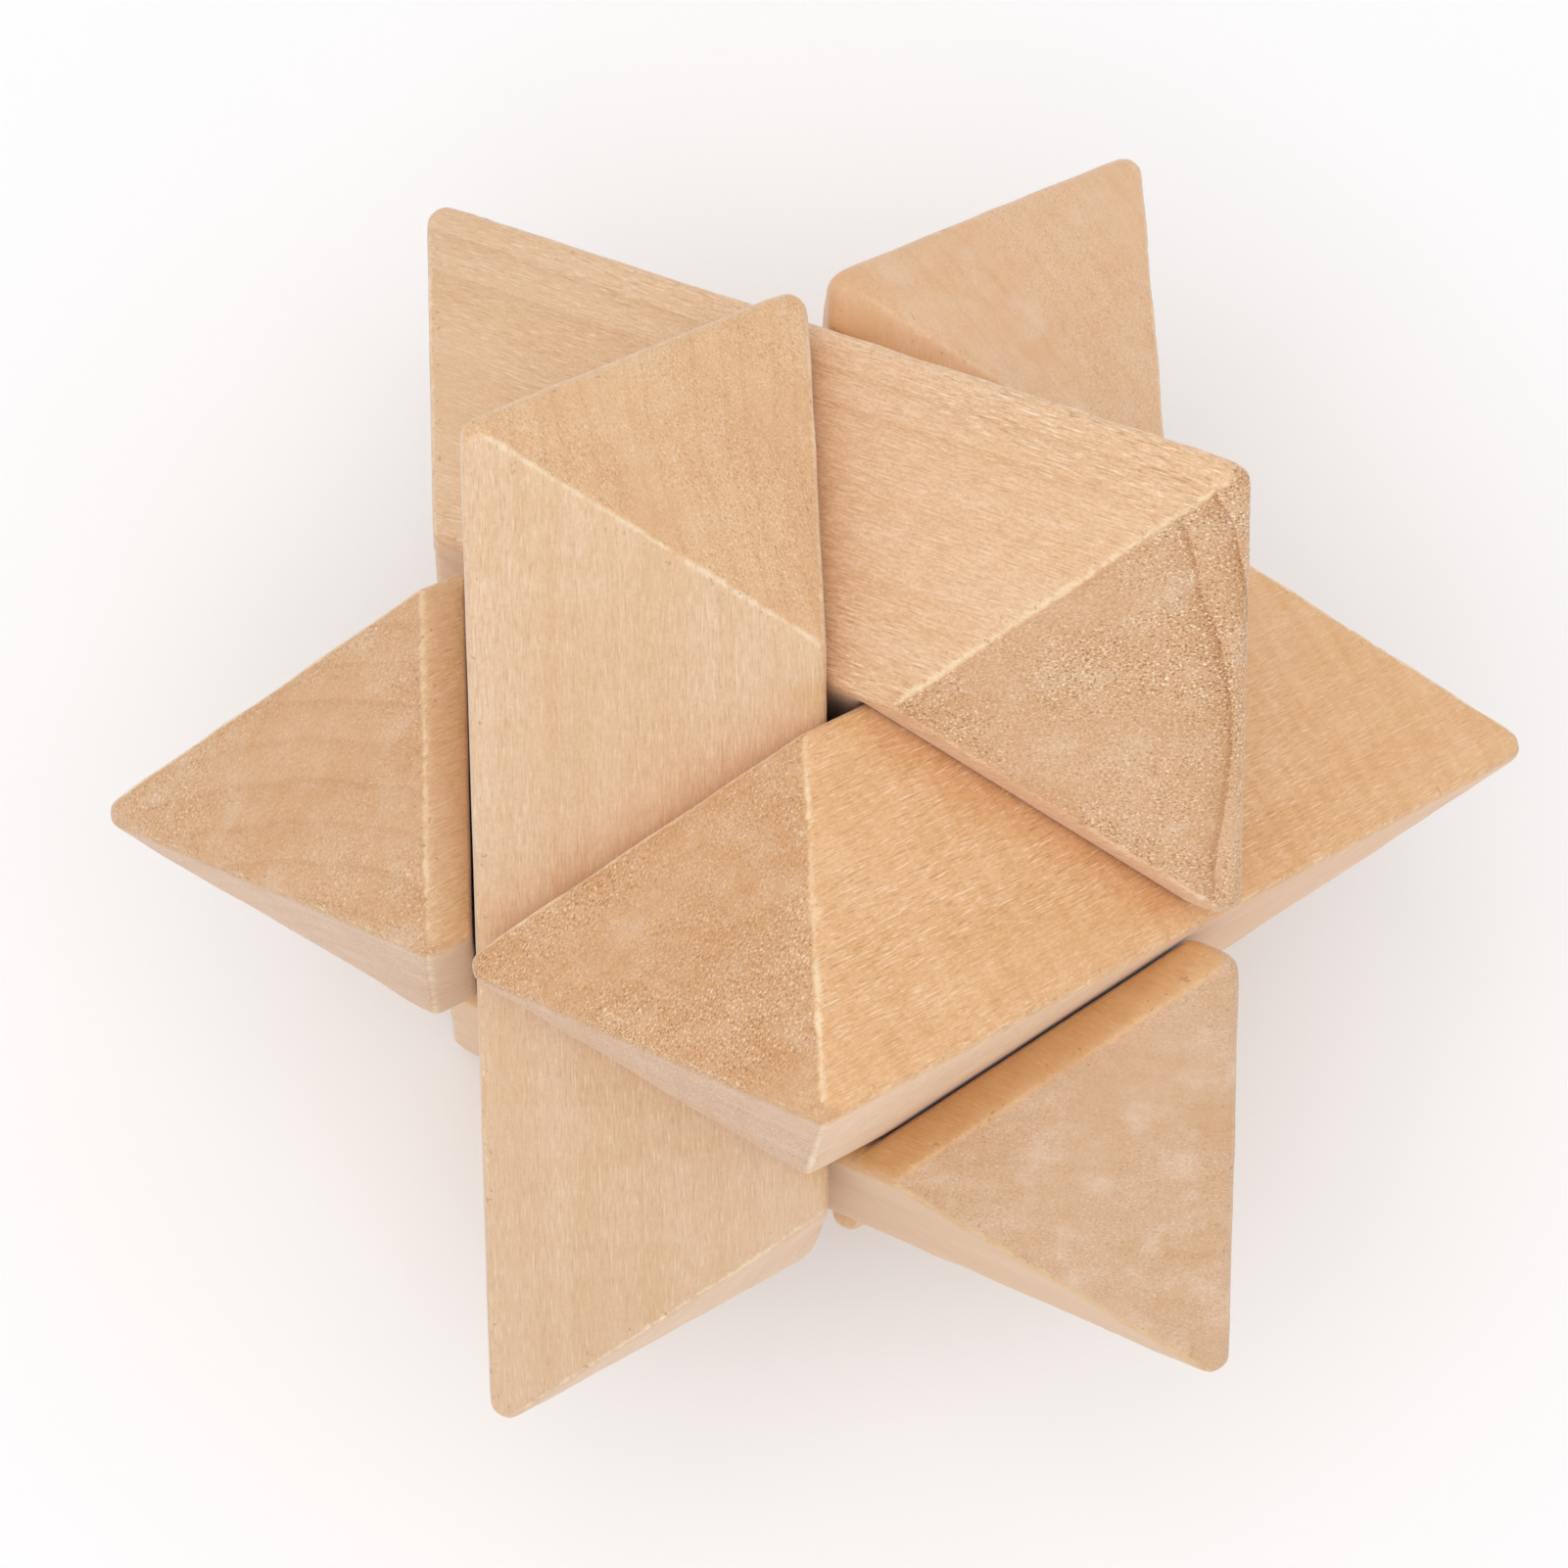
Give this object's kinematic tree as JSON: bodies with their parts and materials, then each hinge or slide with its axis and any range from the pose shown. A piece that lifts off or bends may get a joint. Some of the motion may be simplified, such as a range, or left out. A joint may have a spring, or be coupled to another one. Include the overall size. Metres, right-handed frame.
{
  "type": "burr puzzle",
  "caption": "Star-shaped interlocking wooden puzzle of notched square bars with gabled ends, standing on three of its tips.",
  "frame": {"origin": "on the floor, straight under the star's centre, which is also the bottom centre of its box", "axes": "+Z is the upright body diagonal that the star stands on; +X is level and square to the two c bars; +Y is level, and is the way that the c bars rise"},
  "size_m": [0.0842, 0.0748, 0.0697],
  "materials": {
    "wood_upper_bar_a": "bare sanded pale hardwood, satin to matt",
    "wood_upper_bar_b": "bare sanded pale hardwood, satin to matt",
    "wood_upper_bar_c": "bare sanded pale hardwood, satin to matt",
    "wood_lower_bar_a": "bare sanded pale hardwood, satin to matt",
    "wood_lower_bar_b": "bare sanded pale hardwood, satin to matt",
    "wood_lower_bar_c": "bare sanded pale hardwood, satin to matt"
  },
  "bodies": {
    "upper_bar_a": {"upper_bar_a": "wood_upper_bar_a"},
    "upper_bar_b": {"upper_bar_b": "wood_upper_bar_b"},
    "upper_bar_c": {"upper_bar_c": "wood_upper_bar_c"},
    "lower_bar_a": {"lower_bar_a": "wood_lower_bar_a"},
    "lower_bar_b": {"lower_bar_b": "wood_lower_bar_b"},
    "lower_bar_c": {"lower_bar_c": "wood_lower_bar_c"}
  },
  "joints": [
    {"name": "left_split", "type": "slide", "parent": "lower_bar_b", "child": "lower_bar_a", "axis": [-0.8165, 0.4714, 0.3333], "range_m": [0, 0.03]},
    {"name": "right_split", "type": "slide", "parent": "lower_bar_b", "child": "lower_bar_c", "axis": [0.8165, 0.4714, 0.3333], "range_m": [0, 0.03]},
    {"name": "upright_split", "type": "slide", "parent": "lower_bar_a", "child": "upper_bar_c", "axis": [0, 0, 1], "range_m": [0, 0.03]},
    {"name": "right_split_upper", "type": "slide", "parent": "upper_bar_c", "child": "upper_bar_b", "axis": [0.8165, 0.4714, 0.3333], "range_m": [0, 0.03]},
    {"name": "upright_split_side", "type": "slide", "parent": "lower_bar_c", "child": "upper_bar_a", "axis": [0, 0, 1], "range_m": [0, 0.03]}
  ],
  "couplings": [
    {"joint": "right_split_upper", "follows": "right_split", "ratio": 1},
    {"joint": "upright_split_side", "follows": "upright_split", "ratio": 1}
  ]
}
